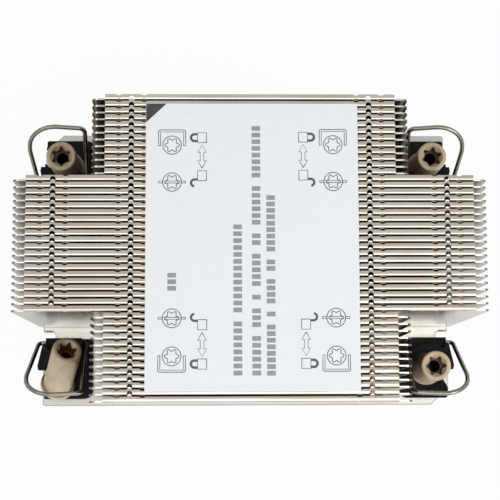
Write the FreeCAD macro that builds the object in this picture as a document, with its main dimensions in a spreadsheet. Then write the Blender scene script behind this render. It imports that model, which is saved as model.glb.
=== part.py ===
import FreeCAD
import Part
import Sketcher
import math
import os
import re
from FreeCAD import Placement, Rotation, Vector

# Passive heatsink for a server processor. Millimetres, +X to the right, +Y to the back,
# +Z up. The origin is the centre of the base plate's contact face.

SIZES = [
    ("plate_length", 115.4, "base plate, left to right"),
    ("plate_depth", 78.0, "base plate, front to back"),
    ("plate_thickness", 5.0, "base plate"),
    ("plate_chamfer", 5.0, "two of the plate's corners"),
    ("plate_corner", 0.8, "radius of its other two corners"),
    ("plate_edge", 0.35, "edge break round its top and bottom"),
    ("notch_start", 18.0, "side notch, from the middle to its near end"),
    ("notch_end", 28.9, "side notch, from the middle to its far end"),
    ("notch_depth", 3.4, "side notch, into the plate"),
    ("notch_corner", 1.2, "radius inside the notch"),
    ("stud_hole_radius", 2.6, "hole in the plate under each nut"),
    ("nut_spacing_x", 101.8, "between the nuts' axes, left to right"),
    ("nut_spacing_y", 57.4, "between the nuts' axes, front to back"),
    ("fin_pitch", 1.69, "from one fin to the next"),
    ("fin_gap", 0.3, "between a flange and the next fin's web"),
    ("fin_sheet", 0.4, "fin sheet metal"),
    ("fin_bend", 0.5, "outer radius of the folds"),
    ("fin_height", 59.0, "fin over the plate"),
    ("stack_back", 37.35, "from the middle to the back of the stack"),
    ("short_flange", 71.6, "flange of a short fin"),
    ("long_flange", 110.0, "flange of a long fin"),
    ("web_reach", 3.4, "web past the end of its flange"),
    ("web_drop", 0.5, "web's free top corner below the flange"),
    ("web_round", 1.8, "radius of the web's free top corner"),
    ("inner_column", 29.3, "interlocks on every fin, from the middle"),
    ("outer_column", 48.4, "interlocks on the long fins, from the middle"),
    ("window_radius", 0.7, "interlock window"),
    ("window_front", 0.4, "window's round centre behind the web's face"),
    ("window_depth", 1.8, "window below the fin's top"),
    ("tongue_radius", 0.6, "interlock tongue"),
    ("tongue_root", 1.15, "tongue's start behind its own web's face"),
    ("tongue_reach", 0.3, "tongue's round end behind the next web's face"),
    ("tongue_drop", 1.5, "tongue's bent end below the fin's top"),
    ("tongue_run", 0.3, "lean of that end to the back"),
    ("tongue_inset", 0.12, "its back face, in from the round end's tip"),
    ("tongue_tip_width", 0.9, "width of that bent end"),
    ("nick_offset", 3.1, "stiffening nicks, from their interlock"),
    ("nick_radius", 1.2, "stiffening nicks"),
    ("nick_depth", 0.3, "stiffening nicks, into the flange's two edges"),
    ("nick_drop", 1.2, "stiffening nicks, below the fin's top"),
    ("nut_length", 19.0, "captive nut"),
    ("nut_radius", 4.05, "captive nut's barrel"),
    ("nut_flange_radius", 4.7, "captive nut's foot flange"),
    ("nut_flange_height", 1.2, "captive nut's foot flange"),
    ("nut_round", 0.5, "rim of the barrel"),
    ("nut_lift", 2.4, "nut's foot over the plate"),
    ("nut_bore", 1.65, "nut's bore, at the thread's crest"),
    ("socket_depth", 4.0, "six-lobe socket"),
    ("socket_mouth", 3.0, "radius of the socket's lead-in"),
    ("lobe_tip_radius", 0.451, "outward round of a lobe"),
    ("lobe_tip_centre", 2.309, "its centre from the nut's axis"),
    ("lobe_flank_centre", 3.169, "centre of the inward round between two lobes"),
    ("lean_angle", 33.0, "loose nut's lean, in degrees"),
    ("lean_heading", 64.0, "way its top leans, in degrees from +X"),
    ("bail_wire", 0.6, "radius of the bail's wire"),
    ("bail_slope", 53.5, "bail's rise at rest, in degrees"),
    ("bail_reach", 24.7, "bail's axis to the middle of its handle"),
    ("bail_skew", 0.65, "half the handle's rise from its inner to its outer end"),
    ("bail_inner", 45.1, "bail's inner arm at its axis, from the middle"),
    ("bail_outer", 58.3, "bail's outer arm at its axis, from the middle"),
    ("bail_belly", 59.9, "widest point of its outer arm, from the middle"),
    ("bail_belly_reach", 16.2, "bail's axis to that point"),
    ("bail_stub", 3.15, "bent end of the wire, along the axis"),
    ("bail_bend", 1.2, "radius of the wire at its bent ends"),
    ("bail_outer_lean", 0.7, "outer arm's corner outside its end"),
    ("bail_inner_lean", 0.85, "inner arm's corner inside its end"),
    ("bail_inner_corner", 1.6, "radius at the handle's inner end"),
    ("bail_outer_corner", 7.6, "radius at the handle's outer end"),
    ("bail_belly_round", 7.0, "radius at the widest point"),
    ("pivot_back", 21.5, "bail's axis from the middle"),
    ("pivot_rise", 4.8, "bail's axis over the plate"),
    ("pivot_clearance", 0.05, "between the wire and its hole"),
    ("floor_inner", 43.4, "bracket floor's inner side, from the middle"),
    ("floor_outer", 57.2, "bracket floor's outer side, from the middle"),
    ("floor_far", 37.05, "bracket floor's far side, from the middle"),
    ("floor_height", 1.2, "bracket's floor"),
    ("floor_hole_radius", 2.8, "stud's hole in the floor"),
    ("cage_inner", 46.3, "cage's inner side, from the middle"),
    ("cage_outer", 56.4, "cage's outer side, from the middle"),
    ("cage_back", 21.6, "cage's back, from the middle"),
    ("cage_end", 29.0, "end of the cage's ear, from the middle"),
    ("collar_radius", 6.7, "cage's round back, about the nut"),
    ("collar_angle", 46.0, "where that round back ends on the inner side, in degrees"),
    ("ear_slant", 2.6, "slanted end of the cage's ear, each way"),
    ("cage_height", 8.0, "cage round the nut, over the plate"),
    ("lip_radius", 4.5, "cage's lip round the nut's barrel"),
    ("seat_radius", 5.5, "cage's bore round the nut's flange"),
    ("seat_height", 4.1, "top of that bore over the plate"),
    ("skirt_height", 5.7, "skirt outside the cage, over the plate"),
    ("skirt_width", 0.65, "skirt outside the cage"),
    ("flare_height", 3.9, "flare under the bail's outer arm, over the plate"),
    ("flare_back", 1.0, "flare's back end outside the cage"),
    ("flare_end", 2.4, "flare's far end outside the cage"),
    ("ear_hole_radius", 0.4, "hole beside the bail's outer end"),
    ("rail_back", 20.15, "rail's back, from the middle"),
    ("rail_height", 6.4, "rail behind the cage, over the plate"),
    ("rail_groove", 0.4, "grooves across the rail, wide and deep"),
    ("foot_height", 2.4, "bracket's far corner foot"),
    ("foot_radius", 5.8, "its round inner side, about the nut"),
    ("foot_groove", 0.7, "grooves in its top, wide and deep"),
    ("inner_foot", 3.9, "foot of the far inner corner, left to right"),
    ("boss_radius", 0.75, "boss beside the nut"),
    ("boss_inner", 47.6, "its axis from the middle, left to right"),
    ("boss_far", 32.9, "its axis from the middle, front to back"),
    ("hook_gap", 0.3, "between the bracket's leg and its notch"),
    ("hook_depth", 3.4, "bracket's leg below the plate's top"),
    ("label_width", 52.2, "label"),
    ("label_depth", 70.8, "label"),
    ("label_film", 0.1, "label"),
    ("label_side", 0.4, "label's middle from the origin, along X"),
    ("label_centre", -0.76, "label's middle from the origin, along Y"),
]
ALIASES = [row[0] for row in SIZES]

BACK_SHORT_FINS = 12
LONG_FINS = 20
FRONT_SHORT_FINS = 13
NUT_TURNS = {"back_left": 30.0, "back_right": 19.0, "front_right": 2.0, "front_left": 14.0}
RAIL_GROOVES = 9
FOOT_GROOVES = 3

doc = FreeCAD.newDocument("heatsink")
sheet = doc.addObject("Spreadsheet::Sheet", "Sizes")
for line, (alias, value, meaning) in enumerate(SIZES, start=1):
    sheet.set(f"A{line}", meaning)
    sheet.set(f"B{line}", str(value))
    sheet.setAlias(f"B{line}", alias)
doc.recompute()


def formula(text):
    """Write the sheet's name before each of its aliases."""
    return re.sub(r"[a-z_]{3,}", lambda m: "Sizes." + m[0] if m[0] in ALIASES else m[0], text)


def number(text):
    """The value of a formula."""
    return float(sheet.evalExpression(str(text)))


def new_body(name):
    body = doc.addObject("PartDesign::Body", name)
    body.Label = name
    return body


def new_sketch(body, name, plane, height="0"):
    """A sketch on one of the body's origin planes, lifted along its normal."""
    sketch = body.newObject("Sketcher::SketchObject", name)
    origin_plane = [f for f in body.Origin.OriginFeatures if f.Role == plane][0]
    sketch.AttachmentSupport = (origin_plane, [""])
    sketch.MapMode = "FlatFace"
    sketch.setExpression("AttachmentOffset.Base.z", formula(height))
    return sketch


def pin_point(sketch, edge, end, place):
    """Tie an edge's end to a pair of formulas."""
    for axis, text in zip("XY", place):
        rule = Sketcher.Constraint("Distance" + axis, -1, 1, edge, end, number(text))
        sketch.setExpression(f"Constraints[{sketch.addConstraint(rule)}]", formula(text))


def draw_outline(sketch, corners):
    """Close a ring of (x, y) formulas. A third entry bends the edge after that corner into
    an arc of that radius, bulging to the right, or to the left if the radius is negative."""
    first = sketch.GeometryCount
    total = len(corners)
    flipped = []
    for index, corner in enumerate(corners):
        start = Vector(number(corner[0]), number(corner[1]), 0)
        following = corners[(index + 1) % total]
        finish = Vector(number(following[0]), number(following[1]), 0)
        radius = number(corner[2]) if len(corner) == 3 else 0
        flipped.append(radius < 0)
        if radius == 0:
            sketch.addGeometry(Part.LineSegment(start, finish), False)
            continue
        if radius < 0:
            start, finish = finish, start
        chord = finish - start
        inset = math.sqrt(max(radius ** 2 - (chord.Length / 2) ** 2, 0))
        centre = (start + finish) / 2 + Vector(-chord.y, chord.x, 0).normalize() * inset
        angles = [math.atan2(end.y - centre.y, end.x - centre.x) for end in (start, finish)]
        circle = Part.Circle(centre, Vector(0, 0, 1), abs(radius))
        edge = sketch.addGeometry(Part.ArcOfCircle(circle, *angles), False)
        rule = sketch.addConstraint(Sketcher.Constraint("Radius", edge, abs(radius)))
        size = formula(corner[2].lstrip("-"))
        sketch.setExpression(f"Constraints[{rule}]", size)
    for index, corner in enumerate(corners):
        behind = (index - 1) % total
        own_end = 2 if flipped[index] else 1
        other_end = 1 if flipped[behind] else 2
        joint = (first + behind, other_end, first + index, own_end)
        sketch.addConstraint(Sketcher.Constraint("Coincident", *joint))
        pin_point(sketch, first + index, own_end, corner[:2])


def draw_circle(sketch, x, y, radius):
    centre = Vector(number(x), number(y), 0)
    edge = sketch.addGeometry(Part.Circle(centre, Vector(0, 0, 1), number(radius)), False)
    rule = sketch.addConstraint(Sketcher.Constraint("Radius", edge, number(radius)))
    sketch.setExpression(f"Constraints[{rule}]", formula(radius))
    pin_point(sketch, edge, 3, (x, y))


def extrude(body, kind, name, sketch, length, reverse=False, both_ways=False):
    """A Pad or a Pocket of the sketch. It must change the body's volume."""
    before = body.Shape.Volume if body.Tip else 0
    feature = body.newObject("PartDesign::" + kind, name)
    feature.Profile = sketch
    feature.Reversed = reverse
    feature.Midplane = both_ways
    feature.setExpression("Length", formula(length))
    doc.recompute()
    if abs(body.Shape.Volume - before) < 1e-6:
        raise RuntimeError(name + " changed nothing")
    return feature


def place(piece, x="0", y="0", z="0", turn="0", axis=(0, 0, 1)):
    """Give a piece its Placement, with each number tied to the sheet."""
    piece.Placement = Placement(Vector(), Rotation(Vector(*axis), 0))
    for field, text in (("Base.x", x), ("Base.y", y), ("Base.z", z), ("Rotation.Angle", turn)):
        piece.setExpression("Placement." + field, formula(text))


# ---------------------------------------------------------------- base plate

def make_base_plate():
    """One thick plate. Its back left and front right corners are chamfered, each side has
    two notches for the brackets' legs, and a stud passes through a hole under each nut."""
    body = new_body("base_plate")
    outline = new_sketch(body, "plate_outline", "XY_Plane")
    side, edge = "plate_length / 2", "plate_depth / 2"
    draw_outline(outline, [
        (f"-{side}", f"-{edge} + plate_corner", "plate_corner"),
        (f"-{side} + plate_corner", f"-{edge}"),
        (f"{side} - plate_chamfer", f"-{edge}"),
        (side, f"-{edge} + plate_chamfer"),
        (side, f"{edge} - plate_corner", "plate_corner"),
        (f"{side} - plate_corner", edge),
        (f"-{side} + plate_chamfer", edge),
        (f"-{side}", f"{edge} - plate_chamfer"),
    ])
    extrude(body, "Pad", "plate_slab", outline, "plate_thickness")
    notches = new_sketch(body, "plate_notches", "XY_Plane", "plate_thickness")
    for side_sign in (1, -1):
        for end_sign in (1, -1):
            draw_notch(notches, side_sign, end_sign)
    extrude(body, "Pocket", "notch_cut", notches, "plate_thickness")
    holes = new_sketch(body, "stud_holes", "XY_Plane", "plate_thickness")
    for x_sign in ("", "-"):
        for y_sign in ("", "-"):
            draw_circle(holes, f"{x_sign}nut_spacing_x / 2", f"{y_sign}nut_spacing_y / 2",
                        "stud_hole_radius")
    plain = extrude(body, "Pocket", "stud_hole_cut", holes, "plate_thickness")
    rims = body.newObject("PartDesign::Chamfer", "plate_rims")
    edges = enumerate(plain.Shape.Edges, start=1)
    rims.Base = (plain, [f"Edge{n}" for n, edge in edges if edge.BoundBox.ZLength < 0.001])
    rims.setExpression("Size", formula("plate_edge"))
    return body


def draw_notch(sketch, side_sign, end_sign):
    """A side notch, square at the plate's edge and rounded inside."""
    deep = f"{side_sign} * (plate_length / 2 - notch_depth)"
    out = f"{side_sign} * (plate_length / 2 + 1)"
    eased = f"{side_sign} * (plate_length / 2 - notch_depth + notch_corner)"
    low = f"{end_sign} * notch_start"
    high = f"{end_sign} * notch_end"
    low_eased = f"{end_sign} * (notch_start + notch_corner)"
    high_eased = f"{end_sign} * (notch_end - notch_corner)"
    bend = "notch_corner" if side_sign * end_sign < 0 else "-notch_corner"
    draw_outline(sketch, [
        (out, low), (eased, low, bend), (deep, low_eased), (deep, high_eased, bend),
        (eased, high), (out, high),
    ])


# ---------------------------------------------------------------------- fins

def make_fin(name, flange, windows, tongues, end_web=False):
    """A folded fin, with its web's face in the XZ plane and its flanges to the back. The
    interlock columns each have a window for the tongue of the fin in front and a tongue for
    the window of the fin behind. Every column has a stiffening nick on either side."""
    body = new_body(name)
    profile = new_sketch(body, name + "_profile", "YZ_Plane")
    lip = "(fin_pitch - fin_gap)"
    draw_outline(profile, [
        ("0", "fin_bend", "fin_bend"), ("fin_bend", "0"), (lip, "0"), (lip, "fin_sheet"),
        ("fin_sheet", "fin_sheet"), ("fin_sheet", "fin_height - fin_sheet"),
        (lip, "fin_height - fin_sheet"), (lip, "fin_height"),
        ("fin_bend", "fin_height", "fin_bend"), ("0", "fin_height - fin_bend"),
    ])
    extrude(body, "Pad", name + "_channel", profile, flange, both_ways=True)
    add_web(body, name + "_web", flange, "0")
    if end_web:
        add_web(body, name + "_end_web", flange, f"{lip} - fin_sheet")

    nicks = new_sketch(body, name + "_nicks", "XY_Plane", "fin_height")
    for column in sorted(set(windows + tongues)):
        for offset in ("nick_offset", "-nick_offset"):
            x = f"{column} + {offset}"
            draw_circle(nicks, x, f"{lip} + nick_radius - nick_depth", "nick_radius")
            draw_circle(nicks, x, "nick_depth - nick_radius", "nick_radius")
    extrude(body, "Pocket", name + "_nick_cut", nicks, "nick_drop")

    if windows:
        sketch = new_sketch(body, name + "_windows", "XY_Plane", "fin_height")
        for column in windows:
            draw_tab(sketch, column, "window_radius", "-0.1", "window_front")
        extrude(body, "Pocket", name + "_window_cut", sketch, "window_depth")
    if tongues:
        sketch = new_sketch(body, name + "_tongues", "XY_Plane", "fin_height - fin_sheet")
        for column in tongues:
            draw_tab(sketch, column, "tongue_radius", "tongue_root",
                     "fin_pitch + tongue_reach - tongue_radius")
        extrude(body, "Pad", name + "_tongue_tabs", sketch, "fin_sheet")
    for index, column in enumerate(tongues, start=1):
        add_tongue_end(body, f"{name}_tongue_end_{index}", column)
    return body


def add_web(body, name, flange, y):
    """The fin's upright sheet. It is wider than the flanges, and its top corners are round."""
    web = new_sketch(body, name, "XZ_Plane", f"-({y})")
    tip, top = f"({flange} / 2 + web_reach)", "(fin_height - web_drop)"
    draw_outline(web, [
        (f"-{tip}", "fin_bend"), (tip, "fin_bend"),
        (tip, f"{top} - web_round", "web_round"), (f"{tip} - web_round", top),
        (f"-{tip} + web_round", top, "web_round"), (f"-{tip}", f"{top} - web_round"),
    ])
    extrude(body, "Pad", name + "_sheet", web, "fin_sheet", reverse=True)


def draw_tab(sketch, column, radius, root, centre):
    """A tab with straight sides and a round end, from its root to the back."""
    left, right, tip = f"{column} - {radius}", f"{column} + {radius}", f"{centre} + {radius}"
    draw_outline(sketch, [(left, root), (right, root), (right, centre, radius),
                          (column, tip, radius), (left, centre)])


def add_tongue_end(body, name, column):
    """The end of a tongue, bent down behind the next fin's web."""
    side = new_sketch(body, name, "YZ_Plane", column)
    under, tip = "fin_height - fin_sheet / 2", "fin_height - tongue_drop"
    back = "(fin_pitch + tongue_reach - tongue_inset)"
    draw_outline(side, [
        (f"{back} - fin_sheet", under), (f"{back} - fin_sheet + tongue_run", tip),
        (f"{back} + tongue_run", tip), (back, under),
    ])
    extrude(body, "Pad", name + "_sheet", side, "tongue_tip_width", both_ways=True)


def make_fins():
    """The stack, from the back to the front: short, long and short fins again. A tongue is
    left off where no fin stands behind it, and a window where no fin stands in front."""
    inner = ["inner_column", "-inner_column"]
    outer = ["outer_column", "-outer_column"]
    back_end = make_fin("back_end_fin", "short_flange", inner, [], end_web=True)
    short = make_fin("short_fin", "short_flange", inner, inner)
    first_long = make_fin("first_long_fin", "long_flange", inner + outer, inner)
    long = make_fin("long_fin", "long_flange", inner + outer, inner + outer)
    last_long = make_fin("last_long_fin", "long_flange", inner, inner + outer)
    front_end = make_fin("front_end_fin", "short_flange", [], inner)
    kinds = [back_end] + [short] * (BACK_SHORT_FINS - 1)
    kinds += [first_long] + [long] * (LONG_FINS - 2) + [last_long]
    kinds += [short] * (FRONT_SHORT_FINS - 1) + [front_end]
    fins = []
    for place_in_stack, kind in enumerate(kinds, start=1):
        fin = copy_of(kind, f"fin_{place_in_stack:02d}")
        place(fin, y=f"stack_back - {place_in_stack} * fin_pitch", z="plate_thickness")
        fins.append(fin)
    return fins


def copy_of(source, name, turn=0, axis=(0, 0, 1)):
    """Another of the same piece, turned in its own frame. It then gets its own Placement."""
    shape = source.Shape.Solids[0].copy()
    shape.transformShape(Placement(Vector(), Rotation(Vector(*axis), turn)).Matrix, True)
    piece = doc.addObject("Part::Feature", name)
    piece.Label = name
    piece.Shape = shape
    return piece


# ---------------------------------------------------------------------- nuts

def make_nut():
    """A moulded nut, foot down on its own axis: a barrel on a foot flange, with a through
    bore for the stud and a six-lobe socket in its head."""
    body = new_body("captive_nut")
    half = new_sketch(body, "nut_half", "XZ_Plane")
    draw_outline(half, [
        ("nut_bore", "0"), ("nut_flange_radius", "0"), ("nut_flange_radius", "nut_flange_height"),
        ("nut_radius", "nut_flange_height"), ("nut_radius", "nut_length - nut_round", "nut_round"),
        ("nut_radius - nut_round", "nut_length"), ("socket_mouth", "nut_length"),
        ("nut_bore", "nut_length - socket_mouth + nut_bore"),
    ])
    barrel = body.newObject("PartDesign::Revolution", "nut_barrel")
    barrel.Profile = half
    barrel.ReferenceAxis = (half, ["V_Axis"])
    barrel.Angle = 360
    doc.recompute()
    socket = new_sketch(body, "nut_socket", "XY_Plane", "nut_length")
    draw_six_lobes(socket)
    extrude(body, "Pocket", "nut_socket_cut", socket, "socket_depth")
    return body


def draw_six_lobes(sketch):
    """Twelve arcs that meet smoothly: six outward rounds and, between them, six inward."""
    tip_radius = number("lobe_tip_radius")
    tips = [around(number("lobe_tip_centre"), 60 * lobe) for lobe in range(6)]
    flanks = [around(number("lobe_flank_centre"), 60 * lobe + 30) for lobe in range(6)]
    flank_radius = (tips[0] - flanks[0]).Length - tip_radius
    for lobe in range(6):
        tip, before, after = tips[lobe], flanks[lobe - 1], flanks[lobe]
        add_arc(sketch, tip, tip_radius, before - tip, after - tip)
        add_arc(sketch, after, flank_radius, tips[(lobe + 1) % 6] - after, tip - after)
    for edge in range(0, 12, 2):
        behind, ahead = (edge - 1) % 12, edge + 1
        sketch.addConstraint(Sketcher.Constraint("Coincident", behind, 1, edge, 1))
        sketch.addConstraint(Sketcher.Constraint("Coincident", edge, 2, ahead, 2))


def around(radius, angle):
    """A point of a circle about the origin, its angle in degrees."""
    return Vector(radius * math.cos(math.radians(angle)), radius * math.sin(math.radians(angle)))


def add_arc(sketch, centre, radius, start_way, finish_way):
    """An arc about centre, anticlockwise between two directions."""
    angles = [math.atan2(way.y, way.x) for way in (start_way, finish_way)]
    circle = Part.Circle(centre, Vector(0, 0, 1), radius)
    return sketch.addGeometry(Part.ArcOfCircle(circle, *angles), False)


def corners():
    """Each corner's name with the signs of its X and Y."""
    return [("back_left", -1, 1), ("back_right", 1, 1), ("front_right", 1, -1),
            ("front_left", -1, -1)]


def make_nuts():
    """Three nuts stand on their studs' axes. The front left one is loose and leans."""
    master = make_nut()
    nuts = []
    for corner, x_sign, y_sign in corners():
        nut = copy_of(master, "nut_" + corner, NUT_TURNS[corner])
        nuts.append(nut)
        x, y = f"{x_sign} * nut_spacing_x / 2", f"{y_sign} * nut_spacing_y / 2"
        if corner != "front_left":
            place(nut, x, y, "plate_thickness + nut_lift")
            continue
        heading = math.radians(number("lean_heading"))
        shift = "nut_length / 2 * sin(lean_angle)"
        place(nut, f"{x} - {shift} * cos(lean_heading)", f"{y} - {shift} * sin(lean_heading)",
              "plate_thickness + nut_lift + nut_length / 2 * (1 - cos(lean_angle))",
              "lean_angle", (-math.sin(heading), math.cos(heading), 0))
    return nuts


# ------------------------------------------------------------------ brackets

def make_bracket():
    """The moulded bracket of the back right corner: a floor on the plate, a cage whose collar
    holds half of the nut over its flange, an ear with the bail's hinge hole, a grooved rail,
    a skirt with a flare at its foot, a leg in the plate's notch, two feet and a boss."""
    body = new_body("bracket")
    nut_x, nut_y = "nut_spacing_x / 2", "nut_spacing_y / 2"
    ground = "plate_thickness"

    floor = new_sketch(body, "bracket_floor", "XY_Plane", ground)
    draw_outline(floor, [
        ("floor_inner", "rail_back"), ("cage_outer", "rail_back"), ("cage_outer", "cage_end"),
        ("cage_outer - 1", "cage_end + 2.9"), ("floor_outer", "cage_end + 5.4"),
        ("floor_outer", "floor_far - 0.6", "0.6"), ("floor_outer - 0.6", "floor_far"),
        ("floor_inner + 2.4", "floor_far", "2.4"), ("floor_inner", "floor_far - 2.4"),
    ])
    extrude(body, "Pad", "floor_slab", floor, "floor_height")

    skirt = new_sketch(body, "bracket_skirt", "XY_Plane", ground)
    draw_outline(skirt, [
        ("cage_inner", "cage_back"), ("cage_outer + skirt_width", "cage_back"),
        ("cage_outer + skirt_width", "cage_end"), ("cage_outer + 0.2", "cage_end"),
        ("cage_outer + 0.2 - ear_slant", "cage_end - ear_slant"),
        ("cage_inner", "cage_end - ear_slant"),
    ])
    extrude(body, "Pad", "skirt_block", skirt, "skirt_height")
    flare = new_sketch(body, "bracket_flare", "XY_Plane", ground)
    draw_outline(flare, [
        ("cage_outer - 1", "cage_back"), ("cage_outer + flare_back", "cage_back"),
        ("cage_outer + flare_end", "cage_end - 1.2"),
        ("cage_outer + flare_end - 0.2", "cage_end"), ("cage_outer - 1", "cage_end"),
    ])
    extrude(body, "Pad", "flare_block", flare, "flare_height")
    cage = new_sketch(body, "bracket_cage", "XY_Plane", ground)
    shoulder = "collar_radius * sin(40)"
    collar_side = f"{nut_x} - collar_radius * cos(collar_angle)"
    draw_outline(cage, [
        (collar_side, "cage_end - ear_slant"),
        (collar_side, f"{nut_y} - collar_radius * sin(collar_angle)", "collar_radius"),
        (nut_x, f"{nut_y} - collar_radius", "collar_radius"),
        (f"{nut_x} + {shoulder}", f"{nut_y} - collar_radius * cos(40)"),
        ("cage_outer - 0.5", "cage_back"), ("cage_outer + 0.6", "cage_end"),
        ("cage_outer + 0.2", "cage_end"),
        ("cage_outer + 0.2 - ear_slant", "cage_end - ear_slant"),
    ])
    extrude(body, "Pad", "cage_block", cage, "cage_height")

    rail = new_sketch(body, "bracket_rail", "XY_Plane", ground)
    rail_end = "(cage_outer - 0.2)"
    draw_outline(rail, [("cage_inner", "rail_back"), (rail_end, "rail_back"),
                        (rail_end, "cage_back"), ("cage_inner", "cage_back")])
    extrude(body, "Pad", "rail_bar", rail, "rail_height")
    grooves = new_sketch(body, "rail_grooves", "XY_Plane", f"{ground} + rail_height")
    for groove in range(RAIL_GROOVES):
        left = f"{rail_end} - (2 * {groove} + 2) * rail_groove"
        draw_outline(grooves, [(left, "rail_back - 1"), (f"{left} + rail_groove", "rail_back - 1"),
                               (f"{left} + rail_groove", "cage_back"), (left, "cage_back")])
    extrude(body, "Pocket", "rail_groove_cut", grooves, "rail_groove")

    lip = new_sketch(body, "cage_lip", "XY_Plane", f"{ground} + cage_height")
    draw_circle(lip, nut_x, nut_y, "lip_radius")
    extrude(body, "Pocket", "cage_lip_cut", lip, "cage_height - floor_height")
    seat = new_sketch(body, "flange_seat", "XY_Plane", f"{ground} + seat_height")
    draw_circle(seat, nut_x, nut_y, "seat_radius")
    extrude(body, "Pocket", "flange_seat_cut", seat, "seat_height - floor_height")
    hole = new_sketch(body, "floor_hole", "XY_Plane", f"{ground} + floor_height")
    draw_circle(hole, nut_x, nut_y, "floor_hole_radius")
    extrude(body, "Pocket", "floor_hole_cut", hole, "floor_height")

    foot = new_sketch(body, "bracket_foot", "XY_Plane", ground)
    draw_outline(foot, [
        (f"{nut_x} + foot_radius * cos(30)", f"{nut_y} + foot_radius * sin(30)"),
        ("floor_outer + 0.1", "cage_end + 5.5"), ("floor_outer - 0.5", "floor_far - 0.9"),
        (f"{nut_x} + 0.6", "floor_far - 0.6"),
        (f"{nut_x} + foot_radius * cos(80)", f"{nut_y} + foot_radius * sin(80)", "-foot_radius"),
    ])
    extrude(body, "Pad", "foot_block", foot, "foot_height")
    ribs = new_sketch(body, "foot_grooves", "XY_Plane", f"{ground} + foot_height")
    for groove in range(FOOT_GROOVES):
        left = f"floor_outer - (2 * {groove} + 2) * foot_groove"
        draw_outline(ribs, [(left, nut_y), (f"{left} + foot_groove", nut_y),
                            (f"{left} + foot_groove", "floor_far"), (left, "floor_far")])
    extrude(body, "Pocket", "foot_groove_cut", ribs, "foot_groove")

    inner_foot = new_sketch(body, "bracket_inner_foot", "XY_Plane", ground)
    draw_outline(inner_foot, [
        ("floor_inner + 0.2", "floor_far - 3.4"), ("floor_inner + inner_foot", "floor_far - 2.1"),
        ("floor_inner + inner_foot", "floor_far - 0.2"),
        ("floor_inner + 2.4", "floor_far - 0.2", "2.2"), ("floor_inner + 0.2", "floor_far - 2.4"),
    ])
    extrude(body, "Pad", "inner_foot_block", inner_foot, "foot_height")
    boss = new_sketch(body, "bracket_boss", "XY_Plane", ground)
    draw_circle(boss, "boss_inner", "boss_far", "boss_radius")
    extrude(body, "Pad", "boss_post", boss, "foot_height - 0.4")

    leg = new_sketch(body, "bracket_leg", "XY_Plane", f"{ground} + floor_height")
    leg_inner = "plate_length / 2 - notch_depth + hook_gap"
    draw_outline(leg, [
        (leg_inner, "cage_back"), ("cage_outer", "cage_back"),
        ("cage_outer + 0.6", "notch_end - 2 * hook_gap"),
        (leg_inner, "notch_end - 2 * hook_gap"),
    ])
    extrude(body, "Pad", "leg_block", leg, "floor_height + hook_depth", reverse=True)

    ear_hole = new_sketch(body, "ear_hole", "XY_Plane", f"{ground} + skirt_height")
    draw_circle(ear_hole, "cage_outer + 0.65", "pivot_back + 1.4", "ear_hole_radius")
    extrude(body, "Pocket", "ear_hole_cut", ear_hole, "skirt_height")
    pivot = new_sketch(body, "pivot_hole", "YZ_Plane", "cage_inner - 1")
    draw_circle(pivot, "pivot_back", f"{ground} + pivot_rise", "bail_wire + pivot_clearance")
    extrude(body, "Pocket", "pivot_hole_cut", pivot, "cage_outer - cage_inner + 2", reverse=True)
    return body


def make_brackets():
    """Two hands of the same moulding, each used at two opposite corners."""
    right_hand = make_bracket()
    left_hand = doc.addObject("Part::Mirroring", "left_hand_bracket")
    left_hand.Source = right_hand
    left_hand.Normal = Vector(1, 0, 0)
    doc.recompute()
    brackets = []
    for corner, x_sign, y_sign in corners():
        hand = right_hand if x_sign == y_sign else left_hand
        bracket = copy_of(hand, "bracket_" + corner)
        place(bracket, turn="0" if y_sign > 0 else "180")
        brackets.append(bracket)
    return brackets


# --------------------------------------------------------------------- bails

def make_bail():
    """A bail flat in the XY plane with its axis on X: a bent wire, both its ends turned
    towards each other on the axis, and its outer arm bellied outwards."""
    body = new_body("bail")
    start = "(bail_outer - bail_stub)"
    path = new_sketch(body, "bail_path", "XY_Plane")
    draw_path(path, [
        (start, "0"), ("bail_outer", "0", "bail_bend"),
        ("bail_belly", "bail_belly_reach", "bail_belly_round"),
        ("bail_outer + bail_outer_lean", "bail_reach + bail_skew", "bail_outer_corner"),
        ("bail_inner - bail_inner_lean", "bail_reach - bail_skew", "bail_inner_corner"),
        ("bail_inner", "0", "bail_bend"), ("bail_inner + bail_stub", "0"),
    ])
    section = new_sketch(body, "bail_section", "YZ_Plane", start)
    draw_circle(section, "0", "0", "bail_wire")
    wire = body.newObject("PartDesign::AdditivePipe", "bail_wire_pipe")
    wire.Profile = section
    wire.Spine = (path, [])
    doc.recompute()
    return body


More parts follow.
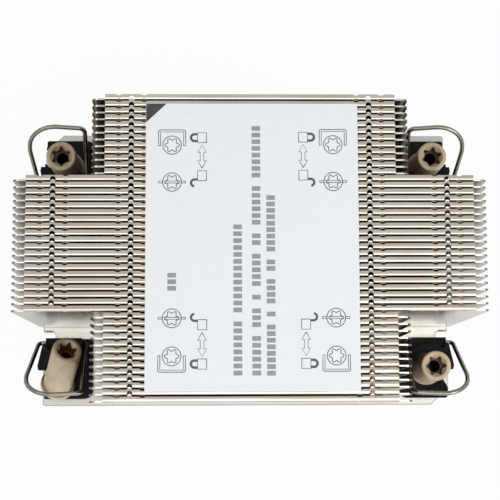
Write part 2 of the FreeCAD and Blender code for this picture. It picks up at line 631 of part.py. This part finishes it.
def draw_path(sketch, corners):
    """An open run of straight stretches, each inner corner (x, y, radius) rounded off."""
    points = [Vector(number(corner[0]), number(corner[1])) for corner in corners]
    ends = [points[0]]
    arcs = []
    for index in range(1, len(corners) - 1):
        point, radius = points[index], number(corners[index][2])
        back = (points[index - 1] - point).normalize()
        ahead = (points[index + 1] - point).normalize()
        half = back.getAngle(ahead) / 2
        centre = point + (back + ahead).normalize() * (radius / math.sin(half))
        touch = [point + way * (radius / math.tan(half)) for way in (back, ahead)]
        ends += touch
        clockwise = back.cross(ahead).z > 0
        spans = [touch[1] - centre, touch[0] - centre] if clockwise else [t - centre for t in touch]
        arcs.append((centre, radius, spans, clockwise, corners[index]))
    ends.append(points[-1])
    lines = [sketch.addGeometry(Part.LineSegment(*ends[n:n + 2]), False)
             for n in range(0, len(ends), 2)]
    for index, (centre, radius, spans, clockwise, corner) in enumerate(arcs):
        arc = add_arc(sketch, centre, radius, *spans)
        entry, leave = (2, 1) if clockwise else (1, 2)
        vertex = sketch.addGeometry(Part.Point(points[index + 1]), True)
        rules = [("Tangent", lines[index], 2, arc, entry), ("Tangent", arc, leave, lines[index + 1], 1),
                 ("PointOnObject", vertex, 1, lines[index]),
                 ("PointOnObject", vertex, 1, lines[index + 1])]
        for rule in rules:
            sketch.addConstraint(Sketcher.Constraint(*rule))
        size = sketch.addConstraint(Sketcher.Constraint("Radius", arc, radius))
        sketch.setExpression(f"Constraints[{size}]", formula(corner[2]))
        pin_point(sketch, vertex, 1, corner[:2])
    pin_point(sketch, lines[0], 1, corners[0])
    pin_point(sketch, lines[-1], 2, corners[-1])


def make_bails():
    """Four of the same wire. Each corner's is a half turn of the first, and stands up."""
    master = make_bail()
    half_turns = {"back_left": (0, 1, 0), "front_right": (1, 0, 0), "front_left": (0, 0, 1)}
    bails = []
    for corner, x_sign, y_sign in corners():
        turn = 180 if corner in half_turns else 0
        bail = copy_of(master, "bail_" + corner, turn, half_turns.get(corner, (1, 0, 0)))
        place(bail, y=f"{y_sign} * pivot_back", z="plate_thickness + pivot_rise",
              turn=f"{y_sign} * bail_slope", axis=(1, 0, 0))
        bails.append(bail)
    return bails


# --------------------------------------------------------------------- label

def make_label():
    """The paper label on the fins' tops."""
    body = new_body("label")
    outline = new_sketch(body, "label_outline", "XY_Plane")
    side, edge = "label_width / 2", "label_depth / 2"
    draw_outline(outline, [(f"-{side}", f"-{edge}"), (side, f"-{edge}"), (side, edge),
                           (f"-{side}", edge)])
    extrude(body, "Pad", "label_sheet", outline, "label_film")
    place(body, x="label_side", y="label_centre", z="plate_thickness + fin_height")
    return body


# -------------------------------------------------------------------- output

def finish(pieces):
    """Stop at anything that failed, then write each piece to its own file."""
    doc.recompute()
    for item in doc.Objects:
        if "Invalid" in item.State or "Error" in item.State:
            raise RuntimeError(f"{item.Name} is {item.State}")
    for piece in pieces:
        if piece.Shape.isNull() or not piece.Shape.isValid():
            raise RuntimeError(piece.Label + " is not a valid shape")
    os.makedirs("parts", exist_ok=True)
    for piece in pieces:
        piece.Shape.exportStep(f"parts/{piece.Label}.step")


finish([make_base_plate()] + make_fins() + make_nuts() + make_brackets() + make_bails()
       + [make_label()])
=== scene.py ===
import math

import bpy
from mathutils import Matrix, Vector


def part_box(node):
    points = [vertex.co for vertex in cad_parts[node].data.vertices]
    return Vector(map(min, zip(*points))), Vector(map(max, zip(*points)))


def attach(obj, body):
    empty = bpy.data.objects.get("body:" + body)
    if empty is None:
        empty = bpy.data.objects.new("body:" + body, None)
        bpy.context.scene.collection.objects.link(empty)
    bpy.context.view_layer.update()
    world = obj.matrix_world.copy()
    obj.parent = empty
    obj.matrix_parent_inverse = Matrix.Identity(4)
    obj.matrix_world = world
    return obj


# Passive heatsink for a server processor: a machined plate, a stack of folded aluminium
# fins, and at each corner a moulded bracket with a captive nut and a wire bail. All lengths
# are in metres, and MM turns a size in millimetres into them.

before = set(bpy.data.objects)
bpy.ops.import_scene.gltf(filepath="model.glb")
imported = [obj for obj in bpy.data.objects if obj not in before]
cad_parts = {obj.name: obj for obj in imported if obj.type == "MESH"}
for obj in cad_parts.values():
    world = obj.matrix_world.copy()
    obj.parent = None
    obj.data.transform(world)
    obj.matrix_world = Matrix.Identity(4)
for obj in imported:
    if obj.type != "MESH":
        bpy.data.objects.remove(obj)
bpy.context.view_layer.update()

MM = 0.001
LABEL_LOW, LABEL_HIGH = (Vector(corner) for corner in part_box("label"))
PLATE_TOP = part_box("base_plate")[1][2]
FIN_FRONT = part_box("fin_02")[0][1]
FIN_PITCH = FIN_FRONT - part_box("fin_03")[0][1]
NUT_LOW, NUT_HIGH = (Vector(corner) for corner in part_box("nut_back_right"))

DOME_MM = 0.065                 # height of the dome across each fin's top
DOME_CREST = 0.45               # where it is highest, as a share of the pitch
ROLL_LINE_MM = 0.008            # depth of the roll lines
SIGN_STROKE_MM = 0.21
LETTER_BLOCK_MM = 1.15
PRINT_LIFT_MM = 0.015           # the ink, over the label's face
PLAIN_WHITE = (1, 1, 1, 1)
FLOOR_REACH = 3.0
LENS_MM = 97.37
CAMERA_PLACE = (-0.00792, -0.04202, 0.38646 + PLATE_TOP)
CAMERA_TURN = (7.005, -1.328, -0.209)


# ------------------------------------------------------------------ material tools

def colour(code):
    """A hex sRGB colour as linear RGBA."""
    channels = [int(code[n:n + 2], 16) / 255 for n in (1, 3, 5)]
    return [c / 12.92 if c <= 0.04045 else ((c + 0.055) / 1.055) ** 2.4 for c in channels] + [1]


def add(tree, kind, inputs=None, **settings):
    """One node with its settings. Each input takes a plain value or another node's output."""
    made = tree.nodes.new(kind)
    for name, value in settings.items():
        setattr(made, name, value)
    for key, value in (inputs or {}).items():
        if isinstance(value, bpy.types.NodeSocket):
            tree.links.new(value, made.inputs[key])
        else:
            made.inputs[key].default_value = value
    return made


def calculate(tree, operation, first, second=0.0, third=0.0):
    """A sum on numbers or on other nodes' outputs."""
    made = add(tree, "ShaderNodeMath", {0: first, 1: second, 2: third}, operation=operation)
    return made.outputs[0]


def new_material(name):
    """An empty material with a Principled surface: the material, its tree and that node."""
    material = bpy.data.materials.new(name)
    material.use_nodes = True
    tree = material.node_tree
    return material, tree, tree.nodes["Principled BSDF"]


def grain(tree, size_mm, stretch=(1, 1, 1), detail=2.0):
    """Noise on Object coordinates. size_mm is the size of a grain, stretch how many times
    longer it is along X, Y and Z."""
    place = add(tree, "ShaderNodeTexCoord")
    scale = [1 / (size_mm * MM * s) for s in stretch]
    mapping = add(tree, "ShaderNodeMapping", {"Vector": place.outputs["Object"], "Scale": scale})
    noise = add(tree, "ShaderNodeTexNoise", {"Vector": mapping.outputs[0], "Scale": 1.0,
                                             "Detail": detail})
    return noise.outputs["Fac"]


def between(tree, factor, low, high, start=0.0, end=1.0):
    """A number that goes from low to high as factor goes from start to end."""
    ranged = add(tree, "ShaderNodeMapRange", {"Value": factor, "From Min": start,
                                              "From Max": end, "To Min": low, "To Max": high})
    return ranged.outputs["Result"]


def blend_colours(tree, factor, low, high):
    """Two colours mixed by factor. Each may be another node's output."""
    mix = add(tree, "ShaderNodeMix", {0: factor}, data_type="RGBA")
    for socket, value in ((mix.inputs[6], low), (mix.inputs[7], high)):
        if isinstance(value, bpy.types.NodeSocket):
            tree.links.new(value, socket)
        else:
            socket.default_value = value
    return mix.outputs[2]


def bump(tree, surface, height, depth_mm, strength=1.0):
    """Make height, from 0 to 1, depth_mm deep on the surface."""
    made = add(tree, "ShaderNodeBump", {"Height": height, "Distance": depth_mm * MM,
                                        "Strength": strength})
    tree.links.new(made.outputs[0], surface.inputs["Normal"])


# ----------------------------------------------------------------------- materials

def folded_aluminium():
    """Thin aluminium strip, rolled, stamped and folded: a warm, slightly blurred mirror with
    faint roll lines along the fin, no two fins quite alike, and painted shade in dull brown
    in the gaps and on the sheared ends that face sideways. The fold's springback leaves each
    top a little domed, so it shades from front to back."""
    material, tree, surface = new_material("folded_aluminium")
    surface.inputs["Metallic"].default_value = 1.0
    place = add(tree, "ShaderNodeTexCoord")
    split = add(tree, "ShaderNodeSeparateXYZ", {0: place.outputs["Object"]})
    past = calculate(tree, "SUBTRACT", split.outputs["Y"], FIN_FRONT)
    turn = calculate(tree, "MULTIPLY", past, 1 / FIN_PITCH)
    which = calculate(tree, "FLOOR", turn)
    across = calculate(tree, "FRACT", turn)
    own = add(tree, "ShaderNodeTexWhiteNoise", {"W": which}, noise_dimensions="1D")
    roll = grain(tree, 0.35, (40, 1, 1))
    cloud = grain(tree, 6.0, (3, 1, 1))
    warm = blend_colours(tree, between(tree, cloud, 0, 1, 0.35, 0.65),
                         colour("#cfc8bc"), colour("#dfd9cf"))
    tinted = blend_colours(tree, between(tree, own.outputs[0], 0, 0.4),
                           warm, colour("#c3b8a8"))
    # Painted shade: the colour darkens to dull brown where ambient occlusion finds other fins
    # close by, down in the gaps.
    shade_probe = add(tree, "ShaderNodeAmbientOcclusion", {"Distance": 4 * MM}, samples=4)
    unshaded_share = between(tree, shade_probe.outputs["AO"], 0, 1, 0.25, 0.8)
    gap_shaded = blend_colours(tree, unshaded_share, colour("#665c4f"), tinted)
    # Painted shade: faces that point sideways along X, the flange ends and web edges, are
    # darkened to brown-grey.
    facing = add(tree, "ShaderNodeNewGeometry")
    parts = add(tree, "ShaderNodeSeparateXYZ", {0: facing.outputs["True Normal"]})
    sideways = calculate(tree, "ABSOLUTE", parts.outputs["X"])
    side_shade_mask = between(tree, sideways, 0, 1, 0.3, 0.6)
    side_shaded = blend_colours(tree, side_shade_mask, gap_shaded, colour("#7d7468"))
    tree.links.new(side_shaded, surface.inputs["Base Color"])
    tree.links.new(between(tree, roll, 0.08, 0.2), surface.inputs["Roughness"])
    centred = calculate(tree, "SUBTRACT", across, DOME_CREST)
    squared = calculate(tree, "MULTIPLY", centred, centred)
    dome = calculate(tree, "MULTIPLY", squared, -DOME_MM * 4)
    lined = calculate(tree, "MULTIPLY_ADD", roll, ROLL_LINE_MM, dome)
    bump(tree, surface, lined, 1.0)
    return material


def machined_plate():
    """Aluminium plate, fly-cut: brighter than the fins, with fine straight cutter lines."""
    material, tree, surface = new_material("machined_plate")
    surface.inputs["Metallic"].default_value = 1.0
    lines = grain(tree, 0.3, (60, 1, 1))
    cloud = grain(tree, 12.0)
    tone = blend_colours(tree, between(tree, cloud, 0, 1, 0.3, 0.7),
                         colour("#c4c2bb"), colour("#d3d1cb"))
    tree.links.new(tone, surface.inputs["Base Color"])
    tree.links.new(between(tree, lines, 0.18, 0.34), surface.inputs["Roughness"])
    bump(tree, surface, lines, 0.02, 0.5)
    return material


def moulded_nylon():
    """Glass-filled black nylon, injection moulded: near black, satin, with a fine mould
    texture that catches grey on flat tops."""
    material, tree, surface = new_material("moulded_nylon")
    speck = grain(tree, 0.25)
    tone = blend_colours(tree, between(tree, speck, 0, 1, 0.35, 0.7),
                         colour("#070708"), colour("#17181a"))
    tree.links.new(tone, surface.inputs["Base Color"])
    surface.inputs["IOR"].default_value = 1.53
    surface.inputs["Specular IOR Level"].default_value = 0.12
    tree.links.new(between(tree, speck, 0.3, 0.5), surface.inputs["Roughness"])
    bump(tree, surface, speck, 0.03, 0.7)
    return material


def moulded_peek():
    """PEEK, the tan plastic of captive nuts, injection moulded: a little glossy, with faint
    flow marks, and painted shade, darker and redder, down in its sockets and under its collars."""
    material, tree, surface = new_material("moulded_peek")
    flow = grain(tree, 3.0, (1, 1, 2))
    tone = blend_colours(tree, between(tree, flow, 0, 1, 0.35, 0.65),
                         colour("#d0b793"), colour("#e2cdac"))
    # Painted shade: the colour darkens to red-brown where ambient occlusion finds surfaces close
    # by, in the sockets and under the collars.
    shade_probe = add(tree, "ShaderNodeAmbientOcclusion", {"Distance": 12 * MM}, samples=4)
    unshaded_share = between(tree, shade_probe.outputs["AO"], 0, 1, 0.3, 0.85)
    tree.links.new(blend_colours(tree, unshaded_share, colour("#5a3416"), tone),
                   surface.inputs["Base Color"])
    surface.inputs["IOR"].default_value = 1.65
    surface.inputs["Roughness"].default_value = 0.32
    bump(tree, surface, grain(tree, 0.4), 0.01, 0.5)
    return material


def spring_wire():
    """Stainless spring wire, drawn through a die: grey, with a bright line along each run."""
    material, tree, surface = new_material("spring_wire")
    surface.inputs["Metallic"].default_value = 1.0
    draw = grain(tree, 0.5)
    tone = blend_colours(tree, draw, colour("#827f78"), colour("#9b9891"))
    tree.links.new(tone, surface.inputs["Base Color"])
    tree.links.new(between(tree, draw, 0.12, 0.24), surface.inputs["Roughness"])
    return material


def label_film():
    """White polyester label stock with a matt overlay: cool white, barely uneven."""
    material, tree, surface = new_material("label_film")
    fibre = grain(tree, 1.5)
    tone = blend_colours(tree, fibre, colour("#f4f8fb"), colour("#fbfdff"))
    tree.links.new(tone, surface.inputs["Base Color"])
    surface.inputs["Roughness"].default_value = 0.55
    bump(tree, surface, grain(tree, 0.3), 0.004, 0.4)
    return material


def printed_ink(name, code, speckle_code, speckle_mm):
    """Thermal-transfer ink: flat and matt, thinner in tiny spots."""
    material, tree, surface = new_material(name)
    spots = grain(tree, speckle_mm, detail=1.0)
    tone = blend_colours(tree, between(tree, spots, 0, 1, 0.5, 0.75), colour(code),
                         colour(speckle_code))
    tree.links.new(tone, surface.inputs["Base Color"])
    surface.inputs["Roughness"].default_value = 0.6
    return material


def dress_frame():
    """Give every node of the frame its finish."""
    finishes = {"base_plate": machined_plate(), "fin": folded_aluminium(),
                "bracket": moulded_nylon(), "nut": moulded_peek(), "bail": spring_wire(),
                "label": label_film()}
    for name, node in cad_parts.items():
        kind = name if name in finishes else name.split("_")[0]
        node.data.materials.clear()
        node.data.materials.append(finishes[kind])


# ------------------------------------------------------------- print on the label

def stroke_tree(material):
    """Geometry Nodes: loose edges become flat printed strokes."""
    tree = bpy.data.node_groups.new("printed_strokes", "GeometryNodeTree")
    tree.interface.new_socket("Geometry", in_out="INPUT", socket_type="NodeSocketGeometry")
    width = tree.interface.new_socket("Stroke width", in_out="INPUT",
                                      socket_type="NodeSocketFloat")
    tree.interface.new_socket("Geometry", in_out="OUTPUT", socket_type="NodeSocketGeometry")
    given = add(tree, "NodeGroupInput")
    curves = add(tree, "GeometryNodeMeshToCurve", {"Mesh": given.outputs["Geometry"]})
    upright = add(tree, "GeometryNodeSetCurveNormal", {"Curve": curves.outputs[0]}, mode="Z_UP")
    ends = []
    for share in (-0.5, 0.5):
        side = calculate(tree, "MULTIPLY", given.outputs["Stroke width"], share)
        ends.append(add(tree, "ShaderNodeCombineXYZ", {"X": side}).outputs[0])
    nib = add(tree, "GeometryNodeCurvePrimitiveLine", {"Start": ends[0], "End": ends[1]})
    ribbon = add(tree, "GeometryNodeCurveToMesh", {"Curve": upright.outputs[0],
                                                   "Profile Curve": nib.outputs[0]})
    real = add(tree, "GeometryNodeRealizeInstances", {0: ribbon.outputs[0]})
    inked = add(tree, "GeometryNodeSetMaterial", {"Geometry": real.outputs[0],
                                                  "Material": material})
    add(tree, "NodeGroupOutput", {0: inked.outputs[0]})
    return tree, width.identifier


def arc_points(centre, radius, start, end, steps=16):
    """Points of an arc in the label's plane, its angles in degrees."""
    angles = [math.radians(start + (end - start) * n / steps) for n in range(steps + 1)]
    return [(centre[0] + radius * math.cos(a), centre[1] + radius * math.sin(a)) for a in angles]


def lobed_ring(centre, radius):
    """A six-lobe ring, pointed out along the sign's sides."""
    points = []
    for step in range(49):
        angle = math.radians(7.5 * step)
        reach = radius * (1 + 0.21 * math.cos(6 * angle))
        points.append((centre[0] + reach * math.cos(angle), centre[1] + reach * math.sin(angle)))
    return points


def rectangle(left, near, width, depth):
    """A closed rectangle, from its left near corner."""
    return [(left, near), (left + width, near), (left + width, near + depth),
            (left, near + depth), (left, near)]


def locking_signs():
    """One corner's signs as polylines in millimetres from the label's middle, x outwards to
    the side and y outwards to the end: a nut under its closed bail, a nut under its open
    bail, a closed and an open lock, and the arrow between the locks."""
    nut_x, closed_y, open_y = 19.65, 24.95, 15.75
    lines = []
    for middle in (closed_y, open_y):
        lines += [arc_points((nut_x, middle), 2.28, 0, 360, 32),
                  lobed_ring((nut_x, middle), 1.5)]
    lines.append(bail_band(nut_x, closed_y))
    lines.append(rectangle(nut_x - 1.75, open_y - 0.24, 3.5, 0.48))
    for left in (nut_x - 3.3, nut_x + 2.28):
        lines.append(rectangle(left, open_y - 0.24, 1.02, 0.48))
    lock_x, lock_width, lock_depth = 11.2, 2.2, 2.45
    closed_lock, open_lock = 25.6, 16.1
    for near in (closed_lock, open_lock):
        lines.append(rectangle(lock_x, near, lock_width, lock_depth))
    side = lock_x + lock_width
    middle = closed_lock + lock_depth / 2
    for radius in (1.05, 0.85, 0.65):
        lines.append([(side, middle - radius)]
                     + arc_points((side + 0.75, middle), radius, -90, 90)
                     + [(side, middle + radius)])
    hook = (side + 0.75, open_lock - 0.55)
    for radius in (1.02, 0.84, 0.66):
        lines.append([(side, hook[1] + radius)] + arc_points(hook, radius, 90, -85))
    lines.append(double_arrow(lock_x + lock_width / 2, 19.2, 25.0))
    return lines


def bail_band(x, y):
    """The closed bail as an outlined band around three sides of the nut."""
    outer, inner, reach, lap, bend = 3.33, 2.83, 3.8, 0.15, 0.5
    half = [(x + inner, y - lap), (x + outer, y - lap), (x + outer, y + reach - bend)]
    half += arc_points((x + outer - bend, y + reach - bend), bend, 0, 90, 4)
    mirrored = [(2 * x - px, py) for px, py in reversed(half)]
    inside = [(x - inner, y + reach - outer + inner), (x + inner, y + reach - outer + inner)]
    return half + mirrored + inside + half[:1]


def double_arrow(x, near, far):
    """The outline of an arrow with a head at each end."""
    head, shaft, depth = 1.05, 0.44, 1.85
    return [(x, near), (x + head, near + depth), (x + shaft, near + depth),
            (x + shaft, far - depth), (x + head, far - depth), (x, far),
            (x - head, far - depth), (x - shaft, far - depth), (x - shaft, near + depth),
            (x - head, near + depth), (x, near)]


def all_signs():
    """The signs at the label's four corners, each group with its own small shift outwards."""
    groups = ((-1, 1, 0.0, 0.0), (1, 1, 0.3, 0.15), (1, -1, 0.65, 1.85), (-1, -1, -0.05, 1.95))
    lines = []
    for x_sign, y_sign, x_shift, y_shift in groups:
        for line in locking_signs():
            lines.append([(x_sign * (x + x_shift), y_sign * (y + y_shift)) for x, y in line])
    return lines


def word_marks():
    """Plain blocks where words run, one for each letter, as short lines across the row. Each
    row has its place across the label, its start, its pitch and the lengths of its words."""
    rows = ((-3.6, -31.8, 1.695, (8, 13)), (0.95, -31.8, 1.67, (6, 3, 1, 5, 2, 6, 8)),
            (4.5, -31.8, 1.589, (8, 1, 4, 2, 9)), (-19.65, -11.2, 1.6, (3,)))
    tall = 2.1
    marks = []
    for across, start, pitch, words in rows:
        place = start + pitch / 2
        for letters in words:
            for _ in range(letters):
                marks.append([(across - tall / 2, place), (across + tall / 2, place)])
                place += pitch
            place += pitch
    return marks


def edges_object(name, polylines):
    """Loose edges on the label's surface, for the stroke tree."""
    corners, edges = [], []
    for line in polylines:
        first = len(corners)
        corners += [(x * MM, y * MM, 0) for x, y in line]
        edges += [(first + n, first + n + 1) for n in range(len(line) - 1)]
    mesh = bpy.data.meshes.new(name)
    mesh.from_pydata(corners, edges, [])
    made = bpy.data.objects.new(name, mesh)
    bpy.context.scene.collection.objects.link(made)
    return made


def bake_nodes(made, tree, inputs, shift):
    """Run the tree on the object, keep the result as a plain mesh and move it into place."""
    modifier = made.modifiers.new("strokes", "NODES")
    modifier.node_group = tree
    for identifier, value in inputs.items():
        modifier[identifier] = value
    bpy.context.view_layer.update()
    evaluated = made.evaluated_get(bpy.context.evaluated_depsgraph_get())
    result = bpy.data.meshes.new_from_object(evaluated)
    made.modifiers.clear()
    made.data = result
    for vertex in result.vertices:
        vertex.co += shift
    return made


def print_label():
    """All that is printed: the signs, plain blocks in place of letters and the dark corner."""
    middle = (LABEL_LOW + LABEL_HIGH) / 2
    middle.z = LABEL_HIGH.z + PRINT_LIFT_MM * MM
    sign_ink = printed_ink("sign_ink", "#55585b", "#74777a", 0.25)
    word_ink = printed_ink("word_ink", "#999c9e", "#b0b3b5", 0.3)
    pieces = []
    for name, lines, width_mm, ink in (
            ("label_signs", all_signs(), SIGN_STROKE_MM, sign_ink),
            ("label_words", word_marks(), LETTER_BLOCK_MM, word_ink)):
        tree, width = stroke_tree(ink)
        strokes = edges_object(name, lines)
        pieces.append(bake_nodes(strokes, tree, {width: width_mm * MM}, middle))
    corner = bpy.data.meshes.new("label_corner")
    tip = Vector((LABEL_LOW.x, LABEL_HIGH.y, middle.z)) + Vector((0.05, -0.05, 0)) * MM
    near, right = Vector((0, -4.7, 0)) * MM, Vector((5.0, 0, 0)) * MM
    corner.from_pydata([tip, tip + near, tip + right], [], [(0, 1, 2)])
    corner.materials.append(printed_ink("corner_ink", "#39393a", "#565658", 0.35))
    triangle = bpy.data.objects.new("label_corner", corner)
    bpy.context.scene.collection.objects.link(triangle)
    for piece in pieces + [triangle]:
        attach(piece, "heatsink")


# ----------------------------------------------------------------- studio and camera

def ray_is_seen(tree, mirrored):
    """1 for what the camera or a glass sees directly, mirrored for what a metal or a gloss
    shows, and 0 for plain light."""
    path = add(tree, "ShaderNodeLightPath")
    direct = calculate(tree, "MAXIMUM", path.outputs["Is Camera Ray"],
                       path.outputs["Is Transmission Ray"])
    gloss = calculate(tree, "MULTIPLY", path.outputs["Is Glossy Ray"], mirrored)
    return calculate(tree, "MAXIMUM", direct, gloss)


def white_world(light, front, back):
    """A plain white surround that gives only part of its white as light. Metal and gloss show
    it white in front and to the right, and greyer towards the back."""
    world = bpy.data.worlds.new("studio")
    bpy.context.scene.world = world
    world.use_nodes = True
    tree = world.node_tree
    way = add(tree, "ShaderNodeTexCoord")
    behind = add(tree, "ShaderNodeVectorMath", {0: way.outputs["Generated"],
                                                1: (-0.3, 1.0, 0.0)}, operation="DOT_PRODUCT")
    mirrored = between(tree, behind.outputs["Value"], front, back, -0.15, 0.2)
    strength = between(tree, ray_is_seen(tree, mirrored), light, 1.0)
    tree.links.new(strength, tree.nodes["Background"].inputs["Strength"])
    tree.nodes["Background"].inputs["Color"].default_value = PLAIN_WHITE


def white_floor(mirrored):
    """The table: white to the eye around the object, with the object's shadow left on it, and
    plain paper where the plate covers it, so that the bores look down into the dark."""
    bore_margin_mm = 2.8
    glow_share = 0.95
    material, tree, surface = new_material("studio_floor")
    surface.inputs["Base Color"].default_value = colour("#f2f2f2")
    surface.inputs["Roughness"].default_value = 0.9
    glow = add(tree, "ShaderNodeEmission", {"Strength": 1.0})
    place = add(tree, "ShaderNodeTexCoord")
    reach = (NUT_LOW + NUT_HIGH) / 2 + Vector((1, 1, 0)) * bore_margin_mm * MM
    covered = add(tree, "ShaderNodeMapping", {"Vector": place.outputs["Object"],
                                              "Scale": (1 / reach.x, 1 / reach.y, 1)})
    split = add(tree, "ShaderNodeSeparateXYZ", {0: covered.outputs[0]})
    sides = [calculate(tree, "ABSOLUTE", split.outputs[axis]) for axis in ("X", "Y")]
    outside = calculate(tree, "MAXIMUM", sides[0], sides[1])
    open_table = calculate(tree, "GREATER_THAN", outside, 1.0)
    share = calculate(tree, "MULTIPLY", ray_is_seen(tree, mirrored), glow_share)
    shown = calculate(tree, "MULTIPLY", share, open_table)
    mixed = add(tree, "ShaderNodeMixShader", {0: shown, 1: surface.outputs[0],
                                              2: glow.outputs[0]})
    tree.links.new(mixed.outputs[0], tree.nodes["Material Output"].inputs["Surface"])
    mesh = bpy.data.meshes.new("floor")
    corners = [(x * FLOOR_REACH, y * FLOOR_REACH, 0)
               for x, y in ((-1, -1), (1, -1), (1, 1), (-1, 1))]
    mesh.from_pydata(corners, [], [(0, 1, 2, 3)])
    mesh.materials.append(material)
    floor = bpy.data.objects.new("floor", mesh)
    bpy.context.scene.collection.objects.link(floor)


def soft_box(name, place, power, size):
    """A square lamp that faces the middle of the fins."""
    lamp = bpy.data.lights.new(name, "AREA")
    lamp.energy = power
    lamp.size = size
    holder = bpy.data.objects.new(name, lamp)
    holder.location = place
    aim = Vector((0, 0, 0.03)) - Vector(place)
    holder.rotation_euler = aim.to_track_quat("-Z", "Y").to_euler()
    bpy.context.scene.collection.objects.link(holder)


def set_camera():
    """Almost straight above, a little to the front and the left."""
    lens = bpy.data.cameras.new("camera")
    lens.sensor_width = 36.0
    lens.lens = LENS_MM
    lens.clip_start = 0.01
    holder = bpy.data.objects.new("camera", lens)
    holder.location = CAMERA_PLACE
    holder.rotation_euler = [math.radians(angle) for angle in CAMERA_TURN]
    bpy.context.scene.collection.objects.link(holder)
    bpy.context.scene.camera = holder


dress_frame()
print_label()
white_world(0.38, 0.82, 0.47)
white_floor(0.35)
soft_box("overhead", (0.08, -0.33, 0.7), 1.9, 0.7)
soft_box("key", (0.6, -0.3, 0.5), 2.2, 0.4)
soft_box("fill", (-0.5, 0.1, 0.6), 0.6, 0.4)
set_camera()
bpy.context.scene.view_settings.view_transform = "Standard"
